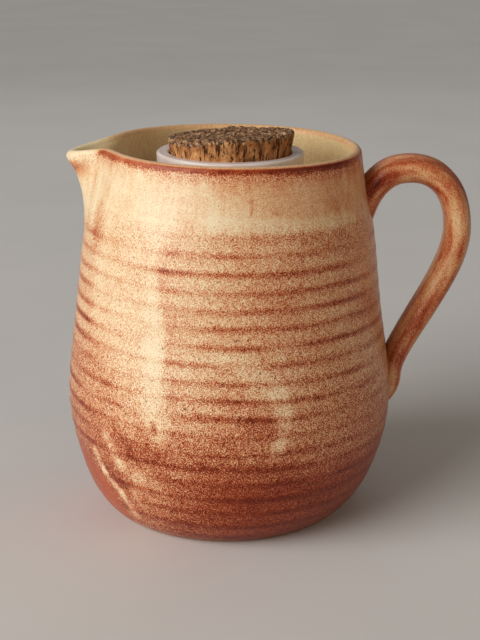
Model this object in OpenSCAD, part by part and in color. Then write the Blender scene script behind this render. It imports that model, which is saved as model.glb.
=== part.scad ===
// Pitcher-shaped stoneware butter crock. The outer crock has a pulled spout and a strap handle and
// holds cold water. A glazed liner jar stands in it, holds the butter, and is closed by a cork.
// Frame: the origin is the centre of the crock's flat base, +Z is up, the handle is at +X and the
// spout at -X. Lengths are in millimetres, and the assembly is the same on both sides of y = 0.

/* [Crock body] */
// Height of the rim above the base
crock_h = 212; // [205:1:220]
// Outside radius of the foot
foot_r = 66.5; // [62:0.5:72]
// Greatest outside radius, at the belly
belly_r = 94; // [90:0.5:98]
// Height of the widest ring of the belly
belly_z = 74; // [66:1:82]
// Outside radius of the shoulder
shoulder_r = 82; // [80:0.5:84]
// Height of the shoulder, where the neck begins
shoulder_z = 174; // [170:1:178]
// Outside radius of the rim
rim_r = 73.6; // [72:0.1:75]
// Thickness of the thrown wall
wall = 6.2; // [5:0.1:7]
// Thickness of the floor
floor_t = 8; // [6:0.5:10]
// Radius of the inside corner between floor and wall
floor_round = 16; // [8:1:20]
// Chamfer round the unglazed foot
foot_chamfer = 1.2; // [0.5:0.1:2]

/* [Spout] */
// How far the tip of the spout reaches past the rim
spout_reach = 18; // [12:1:19]
// Height where the spout's throat begins to swell from the wall
spout_z = 163; // [158:1:170]
// Angle to one side at which the spout has lost most of its reach
spout_spread = 15; // [12:0.5:18]
// How steeply the reach grows towards the rim
spout_power = 1.9; // [1.6:0.1:2.4]
// How much lower the tip is than the rim
spout_drop = 3; // [0:0.5:5]
// Thickness of the clay at the lip of the spout
lip_t = 5; // [4:0.5:6]

/* [Handle] */
// Half the thickness of the strap, in the plane of the loop
strap_a = 7.3; // [6:0.1:8]
// Half the width of the strap, across the plane of the loop
strap_b = 12.5; // [10:0.5:14]
// Extra half thickness where the upper end flares into the wall
flare_a = 5.5; // [2:0.5:6]
// Extra half width where the upper end flares into the wall
flare_b = 2.5; // [0:0.5:4]
// Height of the top of the loop's centre line
loop_top_z = 200; // [198:0.5:202]
// Farthest reach of the loop's centre line from the crock's axis
loop_x = 129.7; // [126:0.1:132]

/* [Liner jar] */
// Outside radius of the liner's body
liner_r = 56; // [52:0.5:58]
// Height of the collar's top face above the crock's base
collar_top_z = 209; // [206:0.5:210]
// Outside radius of the collar
collar_r = 41.4; // [40:0.1:43]
// Height of the collar above its junction with the shoulder
collar_h = 16; // [12:1:20]
// Rounding of the collar's top edges
collar_round = 2; // [1:0.25:2.5]
// Thickness of the liner's wall
liner_wall = 5; // [4:0.5:6]
// Thickness of the liner's floor
liner_floor = 7; // [5:0.5:9]

/* [Cork stopper] */
// Radius of the cork at the collar's top face
cork_r = 34; // [32:0.25:35]
// How much wider the cork grows for each millimetre of height
cork_taper = 0.12; // [0.05:0.01:0.16]
// Depth of the cork below the collar's top face
cork_depth = 19; // [12:1:24]
// Height of the cork above the collar at its tall side
cork_tall = 13; // [8:0.5:14]
// Height of the cork above the collar at its low side
cork_low = 6.5; // [4:0.5:10]
// Gap between the cork and the bore it stands in
cork_gap = 0.35; // [0.3:0.05:0.5]

/* [Hidden] */
$fn = 96;
curve_steps = 9;
round_steps = 6;
deep = 2 * crock_h;

// Point at parameter t on the cubic curve with end points a, d and control points b, c
function cubic(a, b, c, d, t) =
    pow(1 - t, 3) * a + 3 * pow(1 - t, 2) * t * b + 3 * (1 - t) * t * t * c + pow(t, 3) * d;

// The same curve as a list of points, without its first point
function curve(a, b, c, d, steps = curve_steps) =
    [for (i = [1 : steps]) cubic(a, b, c, d, i / steps)];

// Arc of a circle about centre, from angle a0 to angle a1, both ends included
function arc(centre, r, a0, a1, steps = round_steps) =
    [for (i = [0 : steps]) centre + r * [cos(a0 + (a1 - a0) * i / steps), sin(a0 + (a1 - a0) * i / steps)]];

// ---- Crock body ----

rim_t = wall - 0.6;
rim_centre = [rim_r - rim_t / 2, crock_h - rim_t / 2];
foot = [foot_r, foot_chamfer];
belly = [belly_r, belly_z];
shoulder = [shoulder_r, shoulder_z];
rim_side = [rim_r, rim_centre[1]];

// Outside of the thrown wall from foot to rim
outside = concat(
    [foot],
    curve(foot, foot + [14, 8], belly - [0, 32], belly),
    curve(belly, belly + [0, 16], shoulder + [3.5, -22], shoulder),
    curve(shoulder, shoulder + [-1.4, 9], rim_side + [0.3, -14], rim_side)
);

// Outside radius of the wall at height z
radius_table = [for (p = outside) [p[1], p[0]]];
function wall_r(z) = lookup(z, radius_table);

// Inside of the wall, from just under the rim down to the floor
floor_corner_z = floor_t + floor_round;
inside_low_z = floor_corner_z + 14;
inside_r_low = wall_r(floor_corner_z) - wall;
inside_steps = 18;
inside = concat(
    [[rim_r - rim_t, rim_centre[1]]],
    [for (i = [1 : inside_steps])
        let (z = rim_centre[1] + (inside_low_z - rim_centre[1]) * i / inside_steps)
        [wall_r(z) - wall, z]],
    curve([wall_r(inside_low_z) - wall, inside_low_z], [inside_r_low + 0.4, floor_corner_z + 1],
        [inside_r_low - 6, floor_t], [inside_r_low - floor_round - 4, floor_t])
);

module thrown_crock() {
    rotate_extrude()
        polygon(concat(
            [[0, 0], [foot_r - foot_chamfer, 0]],
            outside,
            arc(rim_centre, rim_t / 2, 15, 165),
            inside,
            [[0, floor_t]]
        ));
}

// Solid that fills the crock out to its outside surface
module crock_envelope() {
    rotate_extrude()
        polygon(concat([[0, foot_chamfer]], outside, [[0, rim_centre[1]]]));
}

// Share of the spout's reach that is left at angle a from the spout's middle
function spout_share(a) = exp(-pow(a / spout_spread, 2) * 2.1);

// Share of the spout's reach at height z
function spout_rise(z) = pow(max(0, (z - spout_z) / (crock_h - spout_z)), spout_power);

// The spout's layers lie this far under the wall's faces where the spout has run out
skin_depth = 0.5;
spout_side_angle = 34;
spout_columns = 20;
spout_rows = 10;

// Curved block whose outer face swells into the spout. inner_offset and outer_offset place its
// two faces against the wall's outside, and top_rise lifts its top above the lip.
module spout_block(inner_offset, outer_offset, reach, low_z, top_rise) {
    angles = [for (i = [0 : spout_columns]) -spout_side_angle + 2 * spout_side_angle * i / spout_columns];
    function top_at(a) = crock_h - spout_drop * spout_share(a) + top_rise;
    function height(a, j) = low_z + (top_at(a) - low_z) * j / spout_rows;
    function outer_r(a, z) = wall_r(z) + outer_offset + reach * spout_share(a) * spout_rise(z);
    function inner_r(z) = wall_r(z) + inner_offset;
    function place(a, r, z) = [-r * cos(a), -r * sin(a), z];
    n = spout_columns + 1;
    m = spout_rows + 1;
    outer = [for (j = [0 : spout_rows]) for (a = angles) place(a, outer_r(a, height(a, j)), height(a, j))];
    inner = [for (j = [0 : spout_rows]) for (a = angles) place(a, inner_r(height(a, j)), height(a, j))];
    grid = [for (j = [0 : m - 2]) for (i = [0 : n - 2]) [j * n + i, j * n + i + 1, (j + 1) * n + i + 1, (j + 1) * n + i]];
    back = n * m;
    outer_faces = [for (q = grid) each [[q[0], q[1], q[2]], [q[0], q[2], q[3]]]];
    inner_faces = [for (q = grid) each [[back + q[0], back + q[2], back + q[1]], [back + q[0], back + q[3], back + q[2]]]];
    side_faces = [for (j = [0 : m - 2]) each [
        [j * n, (j + 1) * n, back + j * n],
        [back + j * n, (j + 1) * n, back + (j + 1) * n],
        [j * n + n - 1, back + j * n + n - 1, (j + 1) * n + n - 1],
        [back + j * n + n - 1, back + (j + 1) * n + n - 1, (j + 1) * n + n - 1]]];
    cap_faces = [for (i = [0 : n - 2]) each [
        [i, back + i, i + 1],
        [i + 1, back + i, back + i + 1],
        [(m - 1) * n + i, (m - 1) * n + i + 1, back + (m - 1) * n + i],
        [(m - 1) * n + i + 1, back + (m - 1) * n + i + 1, back + (m - 1) * n + i]]];
    polyhedron(points = concat(outer, inner),
        faces = concat(outer_faces, inner_faces, side_faces, cap_faces));
}

module crock_body() {
    color([0.87, 0.66, 0.48])
        difference() {
            union() {
                thrown_crock();
                spout_block(-wall / 2, -skin_depth, spout_reach + skin_depth, spout_z, -skin_depth);
            }
            spout_block(-3 * wall, -wall - skin_depth, spout_reach + wall + skin_depth - lip_t, spout_z + wall, wall);
        }
}

// ---- Handle ----

// Corners and control points of the loop's centre line, from the upper root to the lower tail
root = [69, 172.5];
loop_top = [102, loop_top_z];
loop_out = [loop_x, 165];
leg_end = [97.5, 92];
tail_end = [88, 62.5];
upper_steps = 9;
leg_steps = 16;
tail_steps = 6;
spine = concat(
    [root],
    curve(root, [80, 187.5], [83.5, loop_top_z], loop_top, upper_steps),
    curve(loop_top, [118.5, loop_top_z], [loop_x, 185], loop_out, upper_steps),
    curve(loop_out, [loop_x, 143.5], [108.5, 116], leg_end, leg_steps),
    curve(leg_end, [92.5, 80], [98, 77], tail_end, tail_steps)
);
spine_last = len(spine) - 1;
flare_rings = 6;
strap_sides = 24;

// Share of the flare left at ring i
function flare(i) = pow(max(0, 1 - i / flare_rings), 2);

// Share of the strap's width left at ring i, which narrows towards the tail
function narrow(i) = 1 - 0.16 * i / spine_last;

// Direction of the spine at ring i
function heading(i) =
    let (d = spine[min(i + 1, spine_last)] - spine[max(i - 1, 0)])
    d / norm(d);

module strap() {
    rings = [for (i = [0 : spine_last])
        let (t = heading(i), a = strap_a + flare_a * flare(i), b = (strap_b + flare_b * flare(i)) * narrow(i))
        for (k = [0 : strap_sides - 1])
            let (q = 360 * k / strap_sides, n = a * cos(q), w = b * sin(q))
            [spine[i][0] - t[1] * n, w, spine[i][1] + t[0] * n]];
    skin = [for (i = [0 : spine_last - 1]) for (k = [0 : strap_sides - 1])
        let (k2 = (k + 1) % strap_sides, p = i * strap_sides, q = p + strap_sides)
        each [[p + k, p + k2, q + k2], [p + k, q + k2, q + k]]];
    start_cap = [[for (k = [strap_sides - 1 : -1 : 0]) k]];
    end_cap = [[for (k = [0 : strap_sides - 1]) spine_last * strap_sides + k]];
    polyhedron(points = rings, faces = concat(skin, start_cap, end_cap));
}

module handle() {
    color([0.72, 0.47, 0.36])
        difference() {
            strap();
            crock_envelope();
        }
}

// ---- Liner jar ----

neck_r = collar_r - 1;
neck_z = collar_top_z - collar_h;
bore_top_r = cork_r + cork_gap;
bore_low_z = collar_top_z - cork_depth - 4;
bore_low_r = cork_r - cork_taper * (collar_top_z - bore_low_z) + cork_gap;
liner_foot_r = liner_r - 8;
liner_shoulder_z = neck_z - 10;

module liner_jar() {
    outer = concat(
        [[0, floor_t], [liner_foot_r, floor_t]],
        curve([liner_foot_r, floor_t], [liner_foot_r + 5, floor_t], [liner_r, floor_t + 6],
            [liner_r, floor_t + 16]),
        curve([liner_r, liner_shoulder_z - 6], [liner_r, liner_shoulder_z + 3], [liner_r - 3, neck_z - 4.5],
            [neck_r + 5, neck_z - 1.5]),
        [[neck_r, neck_z]],
        arc([collar_r - collar_round, collar_top_z - collar_round], collar_round, 0, 90),
        arc([bore_top_r + collar_round / 2, collar_top_z - collar_round / 2], collar_round / 2, 90, 180)
    );
    inner = concat(
        [[bore_low_r, bore_low_z]],
        curve([bore_low_r, bore_low_z], [bore_low_r + 4, bore_low_z - 4], [liner_r - liner_wall, bore_low_z - 2],
            [liner_r - liner_wall, bore_low_z - 16]),
        curve([liner_r - liner_wall, floor_t + liner_floor + 14], [liner_r - liner_wall, floor_t + liner_floor + 5],
            [liner_foot_r, floor_t + liner_floor], [liner_foot_r - 8, floor_t + liner_floor]),
        [[0, floor_t + liner_floor]]
    );
    color([0.88, 0.85, 0.81])
        rotate_extrude()
            polygon(concat(outer, inner));
}

// ---- Cork stopper ----

cork_edge = 1;
cork_base_z = collar_top_z - cork_depth;
cork_top_z = collar_top_z + cork_tall;
cork_base_r = cork_r - cork_taper * cork_depth;
cork_top_r = cork_r + cork_taper * cork_tall;
cork_slope = atan((cork_tall - cork_low) / (2 * cork_top_r));

module cork_stopper() {
    color([0.62, 0.42, 0.26])
        difference() {
            rotate_extrude()
                polygon([
                    [0, cork_base_z],
                    [cork_base_r - cork_edge, cork_base_z],
                    [cork_base_r, cork_base_z + cork_edge],
                    [cork_top_r - cork_edge / 4, cork_top_z - cork_edge],
                    [cork_top_r - cork_edge, cork_top_z],
                    [0, cork_top_z]
                ]);
            translate([cork_top_r, 0, cork_top_z])
                rotate([0, -cork_slope, 0])
                    translate([-deep / 2, -deep / 2, 0])
                        cube([deep, deep, deep / 4]);
        }
}

crock_body();
handle();
liner_jar();
cork_stopper();
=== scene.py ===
"""Looks for the stoneware butter crock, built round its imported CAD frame.

The crock, handle, liner and cork are dense meshes made here from profiles in millimetres, in the
CAD's own frame: z = 0 is the table, the handle is at +X, the spout at -X, and the front at -Y.
Angles round the crock are azimuths in degrees: 0 at the front, 90 at the handle, -90 at the spout.
"""
import math

import bpy
import numpy as np
from mathutils import Matrix, Vector


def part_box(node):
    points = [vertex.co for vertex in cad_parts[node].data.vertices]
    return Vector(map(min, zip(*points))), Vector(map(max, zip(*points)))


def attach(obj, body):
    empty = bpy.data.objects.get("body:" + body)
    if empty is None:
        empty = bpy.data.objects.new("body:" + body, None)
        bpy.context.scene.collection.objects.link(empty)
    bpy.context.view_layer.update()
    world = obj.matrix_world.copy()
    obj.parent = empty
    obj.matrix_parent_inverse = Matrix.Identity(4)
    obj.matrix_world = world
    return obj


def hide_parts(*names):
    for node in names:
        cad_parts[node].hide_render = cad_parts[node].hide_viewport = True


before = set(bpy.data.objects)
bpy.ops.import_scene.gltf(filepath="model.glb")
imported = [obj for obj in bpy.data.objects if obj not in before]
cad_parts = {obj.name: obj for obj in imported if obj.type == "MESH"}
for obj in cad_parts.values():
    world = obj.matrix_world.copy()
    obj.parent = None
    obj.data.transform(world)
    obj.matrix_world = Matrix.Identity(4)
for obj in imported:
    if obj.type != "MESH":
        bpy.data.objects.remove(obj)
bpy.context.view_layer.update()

MM = 0.001


# ---------------------------------------------------------------- numbers and noise

def smoothstep(low, high, x):
    """0 at low, 1 at high, with a soft change between them. Low may be the larger one."""
    t = np.clip((np.asarray(x, float) - low) / (high - low), 0, 1)
    return t * t * (3 - 2 * t)


def mix(a, b, share):
    return a + (b - a) * share


def bell(x, centre, width):
    return np.exp(-(((np.asarray(x, float) - centre) / width) ** 2))


def turn_difference(a, b):
    """The signed angle from b to a, in degrees, from -180 to 180."""
    return (np.asarray(a, float) - b + 180) % 360 - 180


# Large odd numbers that scramble a lattice point's three numbers and its seed into one
SCRAMBLE = (73856093, 19349663, 83492791, 2654435761)
STIR = (2246822519, 3266489917)
LOW_BITS = 0xFFFFFFFF


def lattice_noise(points, seed):
    """Smooth noise from 0 to 1, with one cell per unit of the points' coordinates."""
    cell = np.floor(points).astype(np.int64)
    part = points - cell
    part = part * part * (3 - 2 * part)
    total = np.zeros(len(points))
    for corner in np.ndindex(2, 2, 2):
        at = cell + np.array(corner)
        key = at[:, 0] * SCRAMBLE[0] ^ at[:, 1] * SCRAMBLE[1] ^ at[:, 2] * SCRAMBLE[2]
        key = key ^ (seed + 1) * SCRAMBLE[3]
        key = (key ^ (key >> 15)) * STIR[0] & LOW_BITS
        key = (key ^ (key >> 13)) * STIR[1] & LOW_BITS
        value = ((key ^ (key >> 16)) & 0xFFFF) / 65535
        weight = np.prod(np.where(np.array(corner) == 1, part, 1 - part), axis=1)
        total += value * weight
    return total


def cloud(points, size, seed, octaves=3):
    """Layered noise from 0 to 1. Size is the largest feature's, one number or one for each axis."""
    total, weight, scale = 0.0, 0.0, 1.0
    for octave in range(octaves):
        share = 0.5 ** octave
        total = total + share * lattice_noise(points / np.asarray(size, float) * scale, seed + 17 * octave)
        weight += share
        scale *= 2.03
    return total / weight


def spline(knots, values):
    """A natural cubic spline through the knots, as a function of numpy arrays."""
    x, y = np.asarray(knots, float), np.asarray(values, float)
    h = np.diff(x)
    n = len(x)
    a, b = np.eye(n), np.zeros(n)
    for i in range(1, n - 1):
        a[i, i - 1:i + 2] = h[i - 1], 2 * (h[i - 1] + h[i]), h[i]
        b[i] = 6 * ((y[i + 1] - y[i]) / h[i] - (y[i] - y[i - 1]) / h[i - 1])
    bend = np.linalg.solve(a, b)

    def curve(at):
        at = np.clip(np.asarray(at, float), x[0], x[-1])
        i = np.clip(np.searchsorted(x, at) - 1, 0, n - 2)
        left, right = at - x[i], x[i + 1] - at
        return ((bend[i] * right ** 3 + bend[i + 1] * left ** 3) / (6 * h[i])
                + (y[i] / h[i] - bend[i] * h[i] / 6) * right
                + (y[i + 1] / h[i] - bend[i + 1] * h[i] / 6) * left)
    return curve


# ---------------------------------------------------------------- meshes

def mesh_object(name, points_mm, faces, smooth=True):
    """A new object in the scene, from points in millimetres."""
    mesh = bpy.data.meshes.new(name)
    mesh.from_pydata((np.asarray(points_mm) * MM).tolist(), [], faces)
    mesh.validate()
    if smooth:
        mesh.polygons.foreach_set("use_smooth", [True] * len(mesh.polygons))
    mesh.update()
    obj = bpy.data.objects.new(name, mesh)
    bpy.context.scene.collection.objects.link(obj)
    return obj


def ring(sine, cosine, radius, z):
    """One level row of points. The sine and cosine are of their azimuths."""
    return np.stack([radius * sine, -radius * cosine, z + 0 * sine], axis=1)


def tube_faces(rows, columns):
    """Quads between rows of a closed loop of columns, facing outward for rows that rise."""
    faces = []
    for j in range(rows - 1):
        for i in range(columns):
            k = (i + 1) % columns
            faces.append((j * columns + i, j * columns + k, (j + 1) * columns + k, (j + 1) * columns + i))
    return faces


def fan(centre, first, columns, up):
    """Triangles from one centre point to a row of columns."""
    faces = []
    for i in range(columns):
        k = (i + 1) % columns
        faces.append((centre, first + i, first + k) if up else (centre, first + k, first + i))
    return faces


def closed_turning(name, rows):
    """One closed mesh from rows of points, shape (rows, columns, 3), with both ends capped by a
    fan to the middle of the end row. A turned piece's rows start under it and go up its outside."""
    count, columns = rows.shape[:2]
    points = rows.reshape(-1, 3)
    start, end = rows[0].mean(0), rows[-1].mean(0)
    faces = tube_faces(count, columns)
    faces += fan(count * columns, 0, columns, False)
    faces += fan(count * columns + 1, (count - 1) * columns, columns, True)
    return mesh_object(name, np.vstack([points, start, end]), faces)


def paint(obj, name, values):
    """A number for each vertex, for materials to read. The end caps' middles repeat the last one."""
    values = np.asarray(values, float).ravel()
    missing = len(obj.data.vertices) - len(values)
    if missing:
        values = np.concatenate([values, np.full(missing, values[-1])])
    layer = obj.data.attributes.new(name, "FLOAT", "POINT")
    layer.data.foreach_set("value", values.astype(np.float32))


# ---------------------------------------------------------------- crock: form

CROCK_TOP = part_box("crock_body")[1].z / MM
BELLY_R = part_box("crock_body")[1].y / MM
WALL = 6.2
RIM_THICK = 5.8
FOOT_ROUND = 2.2
FLOOR_Z = 8.0
FLOOR_CORNER = 18.0
RING_PITCH = 9.55
RING_AT = 168.6
SPOUT_AZIMUTH = -90
SPOUT_REACH = 20.0
# The last part of the spout's reach is its lip, rolled outward
LIP_ROLL = 1.1
SPOUT_PULL = SPOUT_REACH - LIP_ROLL

COLUMNS = 340
AZIMUTHS = np.arange(COLUMNS) * 360 / COLUMNS
SINE = np.sin(np.radians(AZIMUTHS))
COSINE = np.cos(np.radians(AZIMUTHS))

# Outside radius of the thrown wall, as a share of the belly's, against its share of the height
outside_share = spline(
    [0, 0.03, 0.08, 0.16, 0.25, 0.35, 0.45, 0.57, 0.70, 0.82, 0.92, 1],
    [0.706, 0.775, 0.856, 0.929, 0.979, 0.9945, 0.974, 0.937, 0.904, 0.866, 0.812, 0.779],
)
# Sideways lean of the wheel-thrown axis, in millimetres, against the share of the height
lean = spline([0, 0.08, 0.2, 0.5, 0.8, 1], [-1.6, -0.3, 0.5, -0.1, -0.3, 0.8])


def body_radius(share):
    return outside_share(share) * BELLY_R


FOOT_R = body_radius(0)


def ring_turn(azimuth, z, points):
    """How far round the spiral of throwing rings a point is: whole numbers are ridges."""
    wobble = 0.22 * (cloud(points, (60, 60, 22), 5, 2) - 0.5)
    return (z - RING_AT) / RING_PITCH + turn_difference(azimuth, 0) / 360 + wobble


def ridge(turn, sharpness):
    return (0.5 + 0.5 * np.cos(2 * math.pi * turn)) ** sharpness


def ring_height(azimuth, z, points):
    """Height of the throwing rings at a point of the outside, in millimetres."""
    depth = np.interp(
        z, [0, 12, 40, 90, 140, 166, 176, 212],
        [0.08, 0.14, 0.18, 0.22, 0.25, 0.22, 0.08, 0.03])
    depth = depth * (1 - 0.4 * bell(turn_difference(azimuth, 90), 0, 30))
    uneven = 0.55 + 0.9 * cloud(points, (45, 45, 9), 11, 2)
    coarse = ridge(ring_turn(azimuth, z, points), 1.6) - 0.4
    fine = ridge(3.1 * ring_turn(azimuth, z, points) + 0.3, 1.0) - 0.5
    return depth * uneven * (coarse + 0.22 * fine)


def spout_share(azimuth, half_width):
    """Share of the spout's reach at an azimuth: 1 at its middle, with hollow flanks. The flank
    behind is the wider one, as the lip was pulled a little to that side."""
    away = turn_difference(azimuth, SPOUT_AZIMUTH)
    return np.exp(-((away / (half_width * np.where(away < 0, 1.3, 1.0))) ** 2))


def rim_height(azimuth):
    """Height of the rim's crest: a little higher on the spout's side, with a dip at its tip."""
    lean_up = -0.9 * np.sin(np.radians(azimuth))
    wave = 0.25 * np.sin(np.radians(3 * azimuth + 40))
    return CROCK_TOP + 0.8 + lean_up + wave - 5.2 * spout_share(azimuth, 11.5)


# The rim, and the wall's slight oval: one number for each column
CREST = rim_height(AZIMUTHS)
TIP = spout_share(AZIMUTHS, 9.7)
ROLLED = LIP_ROLL * spout_share(AZIMUTHS, 14)
LIP_R = RIM_THICK / 2 + 0.8 * TIP
LIP_Z = CREST - LIP_R
OVAL = 0.5 * np.cos(np.radians(2 * AZIMUTHS + 20)) + 0.25 * np.cos(np.radians(3 * AZIMUTHS))


def leaning_ring(radius, z, share):
    """One row of the crock's points, moved sideways by the axis's lean at a share of the height."""
    row = ring(SINE, COSINE, radius, z)
    row[:, 0] += lean(share)
    return row


def base_rows():
    """The flat underside and its rounded corner. All such rows come with the name of their zone."""
    rows = [(leaning_ring(r, 0, 0), "base") for r in (8, 16, 24, 32, 40, 48, 55, 60, FOOT_R - 4)]
    for step in range(1, 6):
        turn = math.radians(90 * step / 5)
        radius = FOOT_R - FOOT_ROUND - 0.3 + FOOT_ROUND * math.sin(turn)
        rows.append((leaning_ring(radius, FOOT_ROUND * (1 - math.cos(turn)), 0), "foot"))
    return rows


def outside_rows():
    """The thrown wall with its rings, drawn out to the spout near the top."""
    rows = []
    for v in np.linspace(0.016, 1, 172):
        z = v * LIP_Z
        radius = body_radius(v) + OVAL * v
        radius = radius + ring_height(AZIMUTHS, z, ring(SINE, COSINE, radius, z))
        half_width = mix(19, 9.7, smoothstep(0.78, 0.97, v))
        rise = np.clip((v - 0.775) / (1 - 0.775), 0, 1) ** 1.75
        radius = radius + SPOUT_PULL * spout_share(AZIMUTHS, half_width) * rise
        radius = radius + ROLLED * smoothstep(0.968, 0.985, v)
        rows.append((leaning_ring(radius, z, v), "outside"))
    return rows


def rim_rows():
    """The rounded rim, over its crest: its outer half, then the lip on its inner half."""
    rim_r = body_radius(1) + OVAL + SPOUT_PULL * TIP + ROLLED
    rows = []
    for step in range(1, 14):
        turn = math.radians(180 * step / 14)
        radius = rim_r - LIP_R + LIP_R * math.cos(turn)
        zone = "rim" if step < 7 else "lip"
        rows.append((leaning_ring(radius, LIP_Z + LIP_R * math.sin(turn), 1), zone))
    return rows


def inside_rows():
    """The inside wall with soft finger rings, the corner at its foot, and the floor."""
    rows = []
    low_v = (FLOOR_Z + FLOOR_CORNER) / CROCK_TOP
    for v in np.linspace(1, low_v, 58):
        z = v * LIP_Z
        radius = body_radius(v) + OVAL * v - mix(WALL, RIM_THICK, smoothstep(0.9, 1, v))
        radius = radius + 0.5 * (ridge(z / 12.5 + AZIMUTHS / 360, 1.3) - 0.45) * smoothstep(1, 0.93, v)
        half_width = mix(17, 8.6, smoothstep(0.80, 0.97, v))
        rise = np.clip((v - 0.80) / (1 - 0.80), 0, 1) ** 1.9
        radius = radius + SPOUT_PULL * spout_share(AZIMUTHS, half_width) * rise
        radius = radius - (2 * LIP_R - RIM_THICK - ROLLED) * smoothstep(0.93, 1, v)
        rows.append((leaning_ring(radius, z, v), "inside"))
    edge = body_radius(low_v) - WALL
    for step in range(1, 9):
        turn = math.radians(90 * step / 8)
        z = FLOOR_Z + FLOOR_CORNER * (1 - math.sin(turn))
        radius = edge - FLOOR_CORNER * (1 - math.cos(turn))
        rows.append((leaning_ring(radius, z, z / CROCK_TOP), "inside"))
    for r in np.linspace(edge - FLOOR_CORNER - 6, 6, 9):
        rows.append((leaning_ring(r, FLOOR_Z + 0.25 * math.sin(r / 3.2), 0.04), "inside"))
    return rows


# ---------------------------------------------------------------- crock: glaze

# Strokes of the glaze on the outside: (azimuth, height) of both ends, half width, and how much
# thicker (cream) or thinner (rust) the glaze is along them
STROKES = [
    # The drip at the foot of the overlap column
    (-27, 116, -23, 74, 6.5, 0.18),
    (-28, 86, -23, 66, 4.4, 0.12),
    # The drip right of the middle, with rust on its left
    (0, 118, 15, 97, 7.5, 0.15),
    (17, 96, 19, 84, 5.5, 0.13),
    (19, 86, 17, 66, 3.6, 0.15),
    (18, 70, 16, 64, 4.2, 0.14),
    (8, 80, 14, 76, 6.0, -0.16),
    (-2, 96, 9, 88, 5.0, -0.08),
    # Creases low on the left
    (-46, 64, -40, 47, 3.2, 0.26),
    (-40, 47, -32, 43, 4.2, 0.20),
    (-32, 46, -24, 39, 4.4, 0.12),
    (-33, 42, -36, 28, 4.0, 0.12),
    (-36, 30, -18, 25, 5.0, 0.09),
    # The cream edge of the held patch
    (-54, 49, -51, 38, 2.7, 0.36),
    (-51, 38, -43, 27, 2.6, 0.36),
    (-43, 27, -40, 14, 3.2, 0.28),
    # Rust round the creases and under the drips
    (-41, 71, -34, 56, 3.0, -0.14),
    (-49, 42, -41, 34, 4.0, -0.14),
    (-30, 59, -6, 57, 2.6, -0.10),
    (-8, 57, 22, 55, 2.6, -0.10),
    # Upright runs at the upper left, and along the overlap's right edge
    (-64, 181, -60, 168, 7.5, -0.15),
    (-70, 200, -68, 172, 2.2, 0.12),
    (-76, 200, -73, 176, 1.6, -0.14),
    (-56, 196, -52, 150, 4.0, 0.04),
    (-58, 160, -54, 124, 5.0, 0.06),
    (-28, 150, -25, 112, 6.0, 0.08),
    # Level runs above the rings, and one tick
    (-10, 185, 58, 181, 3.6, 0.17),
    (-58, 186, -20, 184, 1.8, 0.10),
    (-6, 177, 50, 174, 2.4, -0.12),
    (8, 196, 8.6, 190, 1.2, -0.26),
    # Drips behind
    (100, 150, 112, 70, 7.0, 0.18),
    (150, 130, 146, 84, 6.0, 0.22),
    (178, 120, 186, 60, 7.0, 0.18),
    (214, 170, 208, 96, 9.0, 0.20),
    (236, 110, 243, 58, 5.0, 0.22),
]

# Strength of the stipple on the inside, the rim and the lip. It is about 1 on the outside
SMOOTH_SPECKLE = 0.35


def stroke(azimuth, z, a0, z0, a1, z1, half_width):
    """How near each point is to a stroke, from 0 to 1, measured over the surface."""
    per_degree = math.pi * BELLY_R * 0.94 / 180
    middle = 0.5 * (a0 + a1)
    x = turn_difference(azimuth, middle) * per_degree
    x0, x1 = (a0 - middle) * per_degree, (a1 - middle) * per_degree
    length = math.hypot(x1 - x0, z1 - z0)
    along = np.clip(((x - x0) * (x1 - x0) + (z - z0) * (z1 - z0)) / length ** 2, 0, 1)
    away = np.hypot(x - x0 - along * (x1 - x0), z - z0 - along * (z1 - z0))
    return np.exp(-((away / half_width) ** 4))


def overlap_column(side, z, points):
    """Where two dips of glaze overlap: an upright column left of the middle, crisp on its right."""
    edge = -24 + 1.5 * np.sin(z / 9) + 3.5 * smoothstep(140, 100, z)
    soft = 14 * smoothstep(170, 188, z)
    column = smoothstep(-70, -52, side) * smoothstep(edge + 2 + soft, edge - 3 - soft, side)
    column = column * smoothstep(68, 102, z + 0.95 * (side + 24))
    return column * (0.75 + 0.5 * cloud(points, (14, 14, 60), 43, 2))


def broad_areas(azimuth, z):
    """What broad areas add to the glaze's thickness, or take from it."""
    side = turn_difference(azimuth, 0)
    # Left of the overlap: cream above, rust in the middle
    far_left = smoothstep(-60, -70, side)
    added = 0.12 * far_left * bell(z, 183, 18) - 0.07 * far_left * bell(z, 104, 14)
    added = added + 0.10 * smoothstep(-58, -70, side) * smoothstep(120, 160, z)
    # Cream right of the overlap, and round its foot
    added = added + 0.14 * bell(side, -13, 13) * smoothstep(60, 95, z) * smoothstep(214, 196, z)
    added = added + 0.13 * smoothstep(-14, -32, side) * smoothstep(-66, -52, side) * smoothstep(64, 36, z)
    added = added + 0.11 * bell(side, -38, 11) * bell(z, 82, 18)
    # Rust on the right, above and below
    added = added - 0.06 * smoothstep(4, 30, side) * smoothstep(104, 124, z)
    added = added - 0.05 * smoothstep(25, 50, side) * smoothstep(172, 186, z)
    added = added - 0.07 * smoothstep(-14, 2, side) * smoothstep(66, 46, z)
    # A second overlap behind the handle
    behind = smoothstep(118, 128, azimuth % 360) * smoothstep(176, 170, azimuth % 360)
    return added + 0.16 * behind * smoothstep(92, 116, z)


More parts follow.
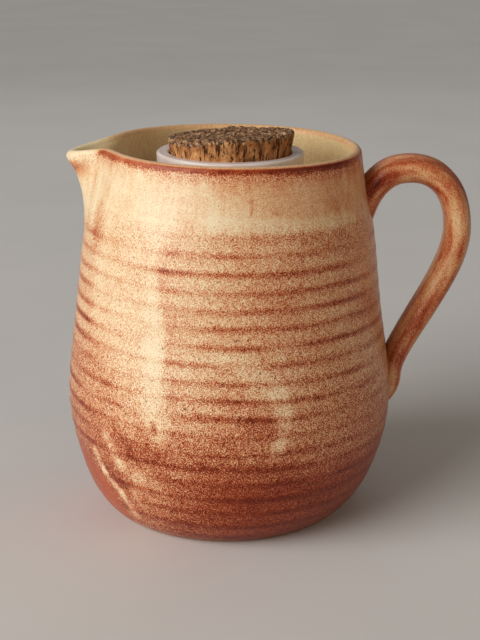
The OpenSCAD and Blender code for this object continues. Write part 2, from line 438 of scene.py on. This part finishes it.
def ring_bands(azimuth, z, points):
    """How much the glaze thins on the throwing rings' ridges. It is below 0 in the hollows."""
    side = turn_difference(azimuth, 0)
    band = np.interp(
        z, [0, 30, 60, 100, 120, 156, 170, 180],
        [0.14, 0.22, 0.30, 0.31, 0.34, 0.40, 0.36, 0.0])
    lower_left = smoothstep(-30, -50, side) * smoothstep(138, 118, z) * smoothstep(40, 60, z)
    broken = np.clip(2.6 * cloud(points, (32, 32, 8.5), 23, 2) - 0.62, 0, 1.5)
    return band * (1 + 0.9 * lower_left) * broken * (ridge(ring_turn(azimuth, z, points), 3.2) - 0.22)


def brushing(z, points):
    """Fine upright and level runs in the plain glaze above the rings."""
    upright = 0.22 * (cloud(points, (3.2, 3.2, 26), 37, 2) - 0.5)
    level = 0.12 * (cloud(points, (50, 50, 3.5), 39, 2) - 0.5)
    return (upright + level) * smoothstep(165, 185, z)


def outside_glaze(azimuth, z, points):
    """Thickness of the oatmeal glaze over the rust one: 0 is bare iron red, 1 is thick cream."""
    thick = np.interp(
        z, [0, 8, 30, 45, 62, 85, 105, 135, 160, 172, 180, 188, 204],
        [0.10, 0.11, 0.13, 0.19, 0.31, 0.43, 0.50, 0.52, 0.53, 0.56, 0.67, 0.69, 0.69])
    overlap = overlap_column(turn_difference(azimuth, 0), z, points)
    thick = thick + 0.26 * overlap * mix(1, 0.7, smoothstep(170, 190, z))
    thick = thick + broad_areas(azimuth, z)
    thick = thick - (1 - 0.45 * overlap) * ring_bands(azimuth, z, points)
    thick = thick + 0.20 * (cloud(points, (26, 26, 12), 31, 3) - 0.5)
    thick = thick + brushing(z, points)
    for a0, z0, a1, z1, half_width, gain in STROKES:
        ragged = half_width * (0.75 + 0.5 * cloud(points, 6, 41, 2))
        thick = thick + gain * stroke(azimuth, z, a0, z0, a1, z1, ragged)
    nick = stroke(azimuth, z, -25.2, 78, -24.6, 72, 1.3)
    return thick - 0.45 * nick


def held_patch(azimuth, z):
    """Where a finger held the crock in the glaze: a smooth patch low on the left."""
    side = turn_difference(azimuth, 0)
    edge = np.interp(z, [0, 14, 27, 37, 50], [-44, -45, -48, -54, -62])
    top = 46 - 0.02 * (side + 74) ** 2
    patch = smoothstep(edge, edge - 2.5, side) * smoothstep(top + 4, top - 4, z)
    return patch * smoothstep(-108, -92, side)


def iron_edge(azimuth, below, points):
    """How much thinner the glaze is near the rim, where it breaks to iron red. Below is the
    distance under the crest. The spout's lip stays cream."""
    clear_of_lip = smoothstep(13.0, 15.5, np.abs(turn_difference(azimuth, SPOUT_AZIMUTH)))
    iron = smoothstep(4.5, 3.6, below + 0.8 * (cloud(points, 9, 51, 2) - 0.5)) * clear_of_lip
    iron = iron * (1 - 0.7 * smoothstep(50, 72, turn_difference(azimuth, 0)))
    blush = smoothstep(12, 5, below + 5 * (cloud(points, (4, 4, 20), 53, 2) - 0.5)) * clear_of_lip
    return (0.60 * iron + 0.18 * blush * (1 - iron)) * (below < 20)


def crock_thickness(azimuth, z, below, zone, held, points):
    """Thickness of the oatmeal glaze on the whole crock."""
    thick = outside_glaze(azimuth, z, points) - iron_edge(azimuth, below, points)
    under_tip = bell(turn_difference(azimuth, SPOUT_AZIMUTH), 0, 8) * bell(z, 199.5, 4.5)
    thick = thick - 0.6 * under_tip * (zone == "outside")
    inner = 0.82 + 0.14 * (cloud(points, 30, 61, 3) - 0.5)
    thick = np.where(zone == "inside", inner, thick)
    lip_cream = 0.66 + 0.16 * (cloud(points, 8, 71, 2) - 0.5)
    over = np.where(zone == "lip", 1, smoothstep(1.3, 0.5, below) * (zone == "rim"))
    thick = mix(thick, lip_cream, over)
    near_tip = smoothstep(0.35, 0.75, spout_share(azimuth, 15)) * smoothstep(6.5, 4.8, below)
    thick = mix(thick, 0.95, near_tip * (zone != "inside"))
    mottle = 0.24 + 0.16 * (cloud(points, (9, 9, 16), 73, 3) - 0.5)
    return mix(thick, mottle, held)


def crock_speckle(azimuth, z, below, zone, held):
    """How strong the stipple is on the whole crock."""
    grain = 1 + 0.25 * smoothstep(135, 95, z)
    grain = grain - 0.45 * smoothstep(62, 36, z) * smoothstep(-15, 5, turn_difference(azimuth, 0))
    plain = smoothstep(176, 186, z) * smoothstep(5, 9, below)
    grain = grain * mix(1.0, 0.5, plain) * (1 - 0.75 * held)
    return np.where((zone == "outside") | (zone == "base") | (zone == "foot"), grain, SMOOTH_SPECKLE)


def build_crock():
    parts = base_rows() + outside_rows() + rim_rows() + inside_rows()
    rows = np.array([row for row, zone in parts])
    zone = np.repeat([zone for row, zone in parts], COLUMNS)
    points = rows.reshape(-1, 3)
    azimuth = np.tile(AZIMUTHS, len(parts))
    z = points[:, 2]
    below = np.tile(CREST, len(parts)) - z
    held = held_patch(azimuth, z) * (zone == "outside")
    obj = closed_turning("stoneware_crock", rows)
    paint(obj, "thick", crock_thickness(azimuth, z, below, zone, held, points))
    paint(obj, "speckle", crock_speckle(azimuth, z, below, zone, held))
    paint(obj, "bare", np.select([zone == "base", zone == "foot"], [1.0, 0.6], 0.0))
    paint(obj, "olive", np.select([zone == "inside", zone == "lip"], [1.0, 0.7], 0.0))
    return obj


# ---------------------------------------------------------------- handle

SPINE_RINGS = 230
STRAP_SIDES = 72
# How far into the crock's wall the strap's ends reach, measured from the wall's inside
CLAY_LEFT = 2.2


def cubic(a, b, c, d, t):
    t = t[:, None]
    return (1 - t) ** 3 * a + 3 * (1 - t) ** 2 * t * b + 3 * (1 - t) * t * t * c + t ** 3 * d


def spine_points():
    """The strap's centre line in the plane y = 0, as (x, z), from its upper root to its tail, and
    each point's distance along it."""
    parts = [
        [(69, 172.4), (80, 187.7), (83.5, 200), (102, 200)],
        [(102, 200), (118.5, 200), (129.1, 185.5), (129.1, 165)],
        [(129.1, 165), (129.1, 143.3), (108.3, 116), (97.4, 92.2)],
        [(97.4, 92.2), (91, 77.5), (99, 77.5), (88.5, 62.4)],
    ]
    t = np.linspace(0, 1, 400)
    line = np.vstack([cubic(*[np.array(p, float) for p in part], t) for part in parts])
    step = np.hypot(*np.diff(line, axis=0).T)
    length = np.concatenate([[0], np.cumsum(step)])
    keep = np.concatenate([[True], step > 1e-9])
    at = np.linspace(0, length[-1], SPINE_RINGS)
    return np.stack([np.interp(at, length[keep], line[keep, k]) for k in (0, 1)], axis=1), at


def strap_section():
    """The strap's rounded section, in shares of its half thickness (outward) and half width."""
    angle = np.arange(STRAP_SIDES) * 2 * math.pi / STRAP_SIDES
    power = 2 / 2.35
    outward = np.sign(np.cos(angle)) * np.abs(np.cos(angle)) ** power
    across = np.sign(np.sin(angle)) * np.abs(np.sin(angle)) ** power
    return outward, across


def strap_rows(line, at, outward, across):
    """The strap's mesh points, shape (rings, sides, 3)."""
    share = at / at[-1]
    heading = np.gradient(line, axis=0)
    heading /= np.linalg.norm(heading, axis=1)[:, None]
    out = np.stack([-heading[:, 1], heading[:, 0]], axis=1)
    thick = np.interp(share, [0, 0.12, 0.28, 0.48, 0.75, 0.86, 1], [7.6, 8.0, 7.9, 7.7, 7.3, 6.7, 4.6])
    thick = thick + 5.0 * np.clip(1 - at / 24, 0, 1) ** 2
    wide = 12.6 + 3.4 * np.clip(1 - at / 34, 0, 1) ** 1.6 - 1.6 * smoothstep(0.35, 0.85, share)
    wide = wide + 1.0 * bell(share, 0.9, 0.05) - 3.0 * smoothstep(0.94, 1, share)
    # The strap is pulled: a shallow groove runs along each edge of its outer face
    groove = 0.45 * (bell(across, 0.55, 0.2) + bell(across, -0.5, 0.2)) * (outward > 0)
    rows = np.zeros((SPINE_RINGS, STRAP_SIDES, 3))
    for k in range(STRAP_SIDES):
        sunk = groove[k] * smoothstep(0.03, 0.12, share) * smoothstep(0.93, 0.85, share)
        reach = thick * outward[k] - sunk
        rows[:, k, 0] = line[:, 0] + out[:, 0] * reach
        rows[:, k, 1] = -wide * across[k]
        rows[:, k, 2] = line[:, 1] + out[:, 1] * reach
    points = rows.reshape(-1, 3)
    lumps = 0.5 * (cloud(points, 22, 81, 2) - 0.5) + 0.18 * (cloud(points, 6, 83, 2) - 0.5)
    normal = np.stack([np.outer(out[:, 0], outward).ravel(),
                       -np.tile(across, SPINE_RINGS),
                       np.outer(out[:, 1], outward).ravel()], axis=1)
    points = points + normal * lumps[:, None]
    # Both ends stop inside the wall's clay, so nothing shows on the crock's inside
    clay_r = body_radius(points[:, 2] / CROCK_TOP) - WALL + CLAY_LEFT
    points[:, 0] = np.maximum(points[:, 0], np.sqrt(clay_r ** 2 - points[:, 1] ** 2))
    return points.reshape(rows.shape)


def strap_glaze(at, outward, across):
    """Thickness of the glaze on the strap, which runs along it in streaks, with a painted highlight laid
    in as a cream streak on the bend.
    """
    along = np.repeat(at, STRAP_SIDES)
    far = np.repeat(at / at[-1], STRAP_SIDES)
    face = np.tile(outward, SPINE_RINGS)
    edge = np.tile(across, SPINE_RINGS)
    glaze = 0.38 + 1.05 * (cloud(np.stack([along / 5.0, face * 7, edge * 11], axis=1), 4.2, 91, 3) - 0.5)
    flank = smoothstep(0.1, 0.7, np.abs(edge))
    # Dark red on the arch's flanks, with a lighter outer face, then a painted highlight: a cream streak
    # halfway down, on the flanks near the inner face
    glaze = glaze - 0.18 * flank * bell(far, 0.15, 0.06) * bell(face, 0.15, 0.55)
    glaze = glaze + 0.10 * smoothstep(0.55, 0.95, face) * bell(far, 0.14, 0.10)
    # Painted highlight: cream where the bend's flanks catch the light, laid in as thicker glaze
    glaze = glaze + 0.26 * flank * bell(far, 0.50, 0.10) * bell(face, -0.3, 0.45)
    glaze = glaze - 0.16 * smoothstep(0.45, 0.9, face) * bell(far, 0.36, 0.12)
    # The lower run: red along the flanks' middle, lighter at both faces, and a cream tail
    glaze = glaze - 0.08 * bell(face, 0.1, 0.4) * smoothstep(0.52, 0.62, far) * smoothstep(0.9, 0.84, far)
    glaze = glaze + 0.10 * smoothstep(0.5, 0.9, np.abs(face)) * smoothstep(0.55, 0.65, far)
    return glaze - 0.10 * bell(far, 0.86, 0.03) + 0.12 * smoothstep(0.92, 0.96, far)


def build_handle():
    line, at = spine_points()
    outward, across = strap_section()
    obj = closed_turning("strap_handle", strap_rows(line, at, outward, across))
    count = SPINE_RINGS * STRAP_SIDES
    paint(obj, "thick", strap_glaze(at, outward, across))
    paint(obj, "speckle", np.full(count, 0.45))
    paint(obj, "bare", np.zeros(count))
    paint(obj, "olive", np.full(count, 0.6))
    return obj


# ---------------------------------------------------------------- liner jar

LINER_COLUMNS = 180
LINER_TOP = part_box("liner_jar")[1].z / MM
LINER_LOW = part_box("liner_jar")[0].z / MM
LINER_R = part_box("liner_jar")[1].x / MM
COLLAR_R = 41.4
BORE_R = 34.4
BORE_TAPER = 0.12
NECK_Z = 193
FOOT_CORNER_R = 12
FOOT_CORNER_Z = 16
LIP_CORNER = 1.5
BORE_CORNER = 1.2
# Heights in the jar: the two ends of the bore, and of the straight wall under the shoulder
BORE_Z = (205, 187)
INNER_WALL_Z = (166, 30)
INNER_R = LINER_R - 5
INNER_FLOOR = 15.0
INNER_CORNER_R = 12
INNER_CORNER_Z = 14


def liner_outside():
    """The jar's outline as (radius, z): foot, body, rounded shoulder, collar and rolled lip."""
    outline = [(r, LINER_LOW) for r in (10, 20, 30, 38, 44)]
    for step in range(9):
        turn = math.radians(90 * step / 8)
        outline.append((LINER_R - FOOT_CORNER_R + FOOT_CORNER_R * math.sin(turn) - 0.2,
                        LINER_LOW + FOOT_CORNER_Z * (1 - math.cos(turn))))
    for z in np.arange(LINER_LOW + 20, NECK_Z - 15, 3.4):
        outline.append((LINER_R - 0.5 + 0.25 * math.sin(z * 0.74), z))
    turn_in = spline([0, 0.35, 0.7, 1], [LINER_R - 0.5, LINER_R - 2.4, LINER_R - 7.5, COLLAR_R + 1.5])
    level = spline([0, 0.35, 0.7, 1], [NECK_Z - 14, NECK_Z - 6.5, NECK_Z - 2.4, NECK_Z - 0.6])
    outline += [(turn_in(t), level(t)) for t in np.linspace(0, 1, 18)]
    for z in np.linspace(NECK_Z + 0.6, LINER_TOP - 3, 12):
        outline.append((COLLAR_R - 0.75 + 0.6 * smoothstep(NECK_Z + 4, LINER_TOP - 4, z), z))
    for step in range(9):
        turn = math.radians(90 * step / 8)
        outline.append((COLLAR_R - LIP_CORNER + LIP_CORNER * math.cos(turn),
                        LINER_TOP - LIP_CORNER - 0.1 + LIP_CORNER * math.sin(turn)))
    return outline


def liner_inside():
    """The rest of the outline: the lip's flat, the bore for the cork, shoulder, wall and floor."""
    outline = [(r, LINER_TOP - 0.1 - 0.12 * bell(r, 37.6, 1.2)) for r in (38.8, 37.4, 36.4)]
    for step in range(1, 7):
        turn = math.radians(90 * step / 6)
        outline.append((BORE_R + BORE_CORNER - BORE_CORNER * math.sin(turn),
                        LINER_TOP - 1.4 + BORE_CORNER * math.cos(turn)))
    for z in np.linspace(*BORE_Z, 9):
        outline.append((BORE_R - BORE_TAPER * (LINER_TOP - z) + 0.02, z))
    inner = spline([0, 0.4, 1], [32, 45, INNER_R])
    shoulder_z = BORE_Z[1] - 1
    outline += [(inner(t), shoulder_z - 16 * t * t) for t in np.linspace(0.12, 1, 9)]
    outline += [(INNER_R, z) for z in np.linspace(*INNER_WALL_Z, 34)]
    for step in range(1, 8):
        turn = math.radians(90 * step / 7)
        outline.append((INNER_R - INNER_CORNER_R * (1 - math.cos(turn)),
                        INNER_FLOOR + INNER_CORNER_Z * (1 - math.sin(turn))))
    outline += [(r, INNER_FLOOR) for r in (36, 28, 18, 8)]
    return outline


def build_liner():
    azimuth = np.radians(np.arange(LINER_COLUMNS) * 360 / LINER_COLUMNS)
    sine, cosine = np.sin(azimuth), np.cos(azimuth)
    rows = np.array([ring(sine, cosine, r, z) for r, z in liner_outside() + liner_inside()])
    # The thrown wall is a little out of round
    points = rows.reshape(-1, 3)
    wave = 0.16 * (cloud(points, (20, 20, 12), 101, 2) - 0.5)
    spread = 1 + wave / np.maximum(np.hypot(points[:, 0], points[:, 1]), 20)
    points[:, 0] *= spread
    points[:, 1] *= spread
    return closed_turning("glazed_liner", points.reshape(rows.shape))


# ---------------------------------------------------------------- cork

CORK_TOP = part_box("cork_stopper")[1].z / MM
CORK_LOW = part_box("cork_stopper")[0].z / MM
CORK_R = 33.9
CORK_TAPER = 0.12
# The cork stands proud of the collar, and opens out there a little more than its taper
CORK_PROUD = 9
CORK_FLARE = 0.07
CORK_BASE_R = CORK_R - CORK_TAPER * (LINER_TOP - CORK_LOW)
CORK_EDGE_R = CORK_R + (CORK_TAPER + CORK_FLARE) * CORK_PROUD - 0.2

CORK_COLUMNS = 300
CORK_ANGLES = np.radians(np.arange(CORK_COLUMNS) * 360 / CORK_COLUMNS)
CORK_SINE = np.sin(CORK_ANGLES)
CORK_COSINE = np.cos(CORK_ANGLES)


def cork_ring(radius, z):
    return ring(CORK_SINE, CORK_COSINE, radius, z)


def cork_top(x, y):
    """Height of the bark face: high at the front and the handle side, with rough plates and pits."""
    flat = np.stack([x, y, 0 * x], axis=1)
    slope = CORK_TOP - 3.6 + 0.058 * x - 0.062 * y + 1.3 * np.exp(-((x + 15) ** 2 + (y - 16) ** 2) / 130)
    plates = 1.8 * (cloud(flat, 12, 111, 2) - 0.5)
    crumbs = 1.9 * (cloud(flat, 3.0, 113, 2) - 0.5)
    pits = -1.6 * smoothstep(0.62, 0.78, cloud(flat, 2.3, 117, 2))
    return slope + plates + crumbs + pits


def cork_side_rows():
    """Rows up the tapered side, worn into upright streaks above the collar, each with its share
    of bark, which laps over the top edge."""
    edge_z = cork_top(CORK_EDGE_R * CORK_SINE, -CORK_EDGE_R * CORK_COSINE) - 0.5
    rows = []
    for v in np.linspace(0.02, 1, 64):
        z = mix(CORK_LOW + 0.3, edge_z, v)
        radius = CORK_R - CORK_TAPER * (LINER_TOP - z) - 0.5 * (1 - smoothstep(0, 0.04, v))
        radius = radius + CORK_FLARE * np.maximum(z - LINER_TOP, 0)
        streak = cloud(cork_ring(radius, z), (1.7, 1.7, 9), 121, 2)
        crumb = cloud(cork_ring(radius, z), 1.6, 127, 2)
        worn = 0.9 * smoothstep(0.56, 0.78, streak) + 0.5 * smoothstep(0.6, 0.8, crumb)
        radius = radius - worn * smoothstep(LINER_TOP - 1.5, LINER_TOP + 0.5, z)
        radius = radius - 0.6 * smoothstep(0.94, 1, v)
        bark_depth = 0.9 + 1.7 * smoothstep(0.1, -0.8, CORK_SINE) + 3.0 * (streak - 0.5)
        bark = smoothstep(bark_depth + 0.5, bark_depth - 0.5, edge_z - z)
        rows.append((cork_ring(radius, z), bark))
    return rows


def build_cork():
    parts = []
    for r in np.linspace(4, CORK_BASE_R - 1.2, 9):
        parts.append((cork_ring(r, CORK_LOW + 0.02), np.zeros(CORK_COLUMNS)))
    parts += cork_side_rows()
    for r in np.linspace(CORK_EDGE_R - 0.9, 1.0, 58):
        height = cork_top(r * CORK_SINE, -r * CORK_COSINE)
        parts.append((cork_ring(r, height), np.ones(CORK_COLUMNS)))
    rows = np.array([row for row, bark in parts])
    rows[:, :, 2] = np.minimum(rows[:, :, 2], CORK_TOP - 0.02)
    obj = closed_turning("bark_cork", rows)
    paint(obj, "bark", np.array([bark for row, bark in parts]))
    return obj


# ---------------------------------------------------------------- materials

def srgb(red, green, blue):
    """Linear colour of an sRGB one given from 0 to 255."""
    def linear(c):
        c = c / 255
        return c / 12.92 if c <= 0.04045 else ((c + 0.055) / 1.055) ** 2.4
    return (linear(red), linear(green), linear(blue), 1.0)


class Nodes:
    """A short way to write a material's nodes."""

    def __init__(self, name):
        self.material = bpy.data.materials.new(name)
        self.material.use_nodes = True
        self.tree = self.material.node_tree
        self.shader = self.tree.nodes["Principled BSDF"]

    def node(self, kind, **values):
        made = self.tree.nodes.new(kind)
        for key, value in values.items():
            setattr(made, key, value)
        return made

    def link(self, output, socket):
        self.tree.links.new(output, socket)

    def put(self, socket, value):
        if isinstance(value, bpy.types.NodeSocket):
            self.link(value, socket)
        else:
            socket.default_value = value

    def place(self, stretch=(1, 1, 1)):
        """The point on the object, in metres, with each axis multiplied by its stretch."""
        coordinates = self.node("ShaderNodeTexCoord")
        scaled = self.node("ShaderNodeMapping")
        scaled.inputs["Scale"].default_value = stretch
        self.link(coordinates.outputs["Object"], scaled.inputs["Vector"])
        return scaled.outputs["Vector"]

    def noise(self, scale, detail=2.0, roughness=0.5, stretch=(1, 1, 1)):
        """Noise from 0 to 1, with about scale features in a metre."""
        made = self.node("ShaderNodeTexNoise")
        self.link(self.place(stretch), made.inputs["Vector"])
        made.inputs["Scale"].default_value = scale
        made.inputs["Detail"].default_value = detail
        made.inputs["Roughness"].default_value = roughness
        return made.outputs["Fac"]

    def cells(self, scale):
        """Distance to the nearest of scattered points, about scale of them in a metre."""
        made = self.node("ShaderNodeTexVoronoi")
        self.link(self.place(), made.inputs["Vector"])
        made.inputs["Scale"].default_value = scale
        return made.outputs["Distance"]

    def read(self, name):
        """A number that paint gave each vertex."""
        made = self.node("ShaderNodeAttribute", attribute_name=name)
        return made.outputs["Fac"]

    def math(self, operation, a, b=0.0, c=0.0, clamp=False):
        made = self.node("ShaderNodeMath", operation=operation, use_clamp=clamp)
        for socket, value in zip(made.inputs, (a, b, c)):
            self.put(socket, value)
        return made.outputs["Value"]

    def remap(self, value, low, high, to_low=0.0, to_high=1.0):
        made = self.node("ShaderNodeMapRange", interpolation_type="SMOOTHSTEP")
        for name, v in (("Value", value), ("From Min", low), ("From Max", high),
                        ("To Min", to_low), ("To Max", to_high)):
            self.put(made.inputs[name], v)
        return made.outputs["Result"]

    def ramp(self, value, stops):
        made = self.node("ShaderNodeValToRGB")
        elements = made.color_ramp.elements
        while len(elements) < len(stops):
            elements.new(0.5)
        for element, (position, colour) in zip(elements, stops):
            element.position = position
            element.color = colour
        self.put(made.inputs["Fac"], value)
        return made.outputs["Color"]

    def blend(self, share, a, b, kind="MIX"):
        made = self.node("ShaderNodeMix", data_type="RGBA", blend_type=kind)
        self.put(made.inputs["Factor"], share)
        self.put(made.inputs[6], a)
        self.put(made.inputs[7], b)
        return made.outputs[2]

    def bump(self, height, distance, strength=1.0, below=None):
        """A bumped normal, laid over the one below when there is one. Distance is in metres."""
        made = self.node("ShaderNodeBump")
        self.put(made.inputs["Height"], height)
        made.inputs["Distance"].default_value = distance
        made.inputs["Strength"].default_value = strength
        if below is not None:
            self.link(below, made.inputs["Normal"])
        return made.outputs["Normal"]


# Colour of the glaze against its thickness, from bare iron red to thick cream
GLAZE_STOPS = [
    (0.00, srgb(108, 34, 12)),
    (0.14, srgb(162, 64, 31)),
    (0.30, srgb(184, 92, 54)),
    (0.46, srgb(210, 136, 92)),
    (0.62, srgb(224, 169, 122)),
    (0.80, srgb(236, 202, 158)),
    (1.00, srgb(246, 226, 188)),
]
# What the glaze's colour is multiplied by where it is more olive: inside, on the lip and the strap
OLIVE_TINT = (0.96, 1.0, 0.88, 1)


def glaze_material(name):
    """Cream oatmeal glaze that breaks to iron red where it is thin, with fine stipple."""
    n = Nodes(name)
    thick, speckle, bare = n.read("thick"), n.read("speckle"), n.read("bare")
    fine = n.noise(1650, 1.5, 0.6)
    medium = n.noise(430, 2.0, 0.6)
    streaks = n.noise(520, 2.0, 0.55, stretch=(1, 1, 0.22))
    stipple = n.math("MULTIPLY_ADD", n.math("SUBTRACT", fine, 0.5), 2.05,
                     n.math("MULTIPLY", n.math("SUBTRACT", medium, 0.5), 0.45))
    stipple = n.math("MULTIPLY", stipple, speckle)
    soft = n.math("MULTIPLY", n.math("SUBTRACT", streaks, 0.5), 0.16)
    depth = n.math("ADD", n.math("ADD", thick, stipple), soft, clamp=True)
    colour = n.ramp(depth, GLAZE_STOPS)
    spots = n.remap(n.noise(620, 1.0, 0.5), 0.70, 0.76)
    spots = n.math("MULTIPLY", spots, n.math("MULTIPLY", speckle, 0.75))
    colour = n.blend(spots, colour, srgb(92, 44, 28))
    clay = n.ramp(n.noise(260, 4.0, 0.65), [(0.3, srgb(150, 112, 84)), (0.7, srgb(184, 146, 112))])
    colour = n.blend(bare, colour, clay)
    olive = n.blend(1.0, colour, OLIVE_TINT, "MULTIPLY")
    colour = n.blend(n.read("olive"), colour, olive)
    n.link(colour, n.shader.inputs["Base Color"])
    gloss = n.remap(depth, 0.05, 0.9, 0.30, 0.42)
    rough = n.math("MAXIMUM", gloss, n.math("MULTIPLY", bare, 0.85))
    rough = n.math("MULTIPLY_ADD", n.math("SUBTRACT", medium, 0.5), 0.14, rough)
    n.link(rough, n.shader.inputs["Roughness"])
    n.link(n.remap(depth, 0.1, 0.6, 0.24, 0.46), n.shader.inputs["Specular IOR Level"])
    low = n.bump(n.noise(95, 3.0, 0.5), 0.0006, 0.35)
    n.link(n.bump(fine, 0.00022, 0.4, low), n.shader.inputs["Normal"])
    return n.material


def white_glaze_material():
    """Off-white glaze over pale stoneware, with faint warm pooling and pinholes."""
    n = Nodes("white_liner_glaze")
    drift = n.noise(36, 4.0, 0.6)
    colour = n.ramp(drift, [
        (0.30, srgb(222, 204, 196)),
        (0.55, srgb(238, 224, 218)),
        (0.75, srgb(244, 236, 232)),
    ])
    pin = n.remap(n.noise(900, 1.0, 0.5), 0.73, 0.79)
    colour = n.blend(n.math("MULTIPLY", pin, 0.5), colour, srgb(150, 122, 100))
    n.link(colour, n.shader.inputs["Base Color"])
    n.link(n.remap(n.noise(120, 3.0), 0.3, 0.7, 0.16, 0.26), n.shader.inputs["Roughness"])
    n.link(n.bump(n.noise(70, 2.0), 0.0005, 0.3), n.shader.inputs["Normal"])
    return n.material


def cork_material():
    """Cork: sides with dark upright lenticels, and a grey-brown bark face."""
    n = Nodes("cork_and_bark")
    bark = n.read("bark")
    grain = n.noise(160, 5.0, 0.65, stretch=(1, 1, 0.5))
    side = n.ramp(grain, [
        (0.30, srgb(120, 72, 40)),
        (0.50, srgb(182, 122, 72)),
        (0.70, srgb(228, 174, 118)),
    ])
    lenticel = n.remap(n.noise(560, 2.0, 0.6, stretch=(1, 1, 0.12)), 0.555, 0.61)
    side = n.blend(n.math("MULTIPLY", lenticel, 0.9), side, srgb(48, 24, 12))
    fleck = n.remap(n.noise(900, 2.0, 0.6, stretch=(1, 1, 0.45)), 0.60, 0.68)
    side = n.blend(n.math("MULTIPLY", fleck, 0.6), side, srgb(88, 48, 26))
    crust = n.noise(520, 4.0, 0.7)
    face = n.ramp(crust, [
        (0.34, srgb(44, 24, 14)),
        (0.46, srgb(118, 80, 54)),
        (0.57, srgb(176, 136, 100)),
        (0.70, srgb(228, 196, 158)),
    ])
    pore = n.remap(n.cells(330), 0.18, 0.34, 1.0, 0.0)
    face = n.blend(n.math("MULTIPLY", pore, 0.7), face, srgb(40, 24, 16))
    n.link(n.blend(bark, side, face), n.shader.inputs["Base Color"])
    n.shader.inputs["Specular IOR Level"].default_value = 0.25
    n.link(n.remap(grain, 0.3, 0.7, 0.75, 0.92), n.shader.inputs["Roughness"])
    dents = n.bump(n.math("SUBTRACT", grain, n.math("MULTIPLY", lenticel, 0.8)), 0.0008, 0.7)
    n.link(n.bump(crust, 0.0009, 0.6, dents), n.shader.inputs["Normal"])
    return n.material


def floor_material():
    """A plain pale floor, hardly mottled."""
    n = Nodes("pale_floor")
    n.link(n.ramp(n.noise(5.0, 3.0, 0.5), [(0.3, srgb(219, 217, 215)), (0.7, srgb(224, 222, 220))]),
           n.shader.inputs["Base Color"])
    n.shader.inputs["Roughness"].default_value = 0.7
    return n.material


# ---------------------------------------------------------------- pieces

def finish_piece(obj, material, body, node):
    """Give a piece its material, the body it rides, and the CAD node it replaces."""
    obj.data.materials.append(material)
    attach(obj, body)
    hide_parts(node)


finish_piece(build_crock(), glaze_material("oatmeal_rust_glaze"), "crock", "crock_body")
finish_piece(build_handle(), glaze_material("oatmeal_rust_glaze_strap"), "crock", "handle")
finish_piece(build_liner(), white_glaze_material(), "liner", "liner_jar")
finish_piece(build_cork(), cork_material(), "cork", "cork_stopper")


# ---------------------------------------------------------------- stage, light and camera

# Half the floor's side, in millimetres: so wide that its far edge is near the horizon
FLOOR_HALF = 24000
# The camera's place in metres, its turns in radians, and its lens for a 36 mm sensor
CAMERA_AT = (0.00623, -0.79018, 0.34947)
CAMERA_TILT_DOWN = 0.2945
CAMERA_ROLL = 0.0088
CAMERA_LENS = 80.1


def build_floor():
    half = FLOOR_HALF
    corners = [(-half, -half, 0), (half, -half, 0), (half, half, 0), (-half, half, 0)]
    floor = mesh_object("floor", corners, [(0, 1, 2, 3)], smooth=False)
    floor.data.materials.append(floor_material())


def area_light(name, place, target, size, watts, colour):
    data = bpy.data.lights.new(name, "AREA")
    data.shape = "RECTANGLE"
    data.size, data.size_y = size
    data.energy = watts
    data.color = colour
    light = bpy.data.objects.new(name, data)
    bpy.context.scene.collection.objects.link(light)
    light.location = place
    light.rotation_euler = (Vector(place) - Vector(target)).to_track_quat("Z", "Y").to_euler()


def soft_sun(name, azimuth, elevation, width, strength, colour):
    """A broad, even light, as from a big window, that comes from an azimuth and elevation."""
    data = bpy.data.lights.new(name, "SUN")
    data.energy = strength
    data.angle = math.radians(width)
    data.color = colour
    light = bpy.data.objects.new(name, data)
    bpy.context.scene.collection.objects.link(light)
    light.rotation_euler = (math.radians(90 - elevation), 0, math.radians(azimuth))


def build_world(strength, colour):
    world = bpy.data.worlds.new("studio")
    bpy.context.scene.world = world
    world.use_nodes = True
    background = world.node_tree.nodes["Background"]
    background.inputs["Color"].default_value = (*colour, 1)
    background.inputs["Strength"].default_value = strength


def build_camera():
    data = bpy.data.cameras.new("camera")
    data.sensor_width = 36
    data.lens = CAMERA_LENS
    data.clip_end = 50
    camera = bpy.data.objects.new("camera", data)
    bpy.context.scene.collection.objects.link(camera)
    tilt = Matrix.Rotation(math.pi / 2 - CAMERA_TILT_DOWN, 4, "X")
    camera.matrix_world = Matrix.Translation(CAMERA_AT) @ tilt @ Matrix.Rotation(CAMERA_ROLL, 4, "Z")
    bpy.context.scene.camera = camera


build_floor()
build_world(strength=0.15, colour=(1.0, 0.96, 0.90))
soft_sun("window", azimuth=-55, elevation=24, width=50, strength=1.95, colour=(1.0, 0.975, 0.95))
area_light("key", place=(-1.0, -0.8, 0.75), target=(0, 0, 0.1), size=(1.2, 1.0),
           watts=6.5, colour=(1.0, 0.98, 0.96))
area_light("fill", place=(1.2, -0.7, 0.6), target=(0, 0, 0.1), size=(1.0, 1.0),
           watts=2.0, colour=(1.0, 0.74, 0.40))
area_light("back", place=(-0.2, 1.5, 1.0), target=(0, 0, 0.15), size=(1.2, 0.7),
           watts=1.5, colour=(1.0, 0.96, 0.90))
build_camera()
bpy.context.scene.view_settings.view_transform = "Standard"

bpy.context.view_layer.update()
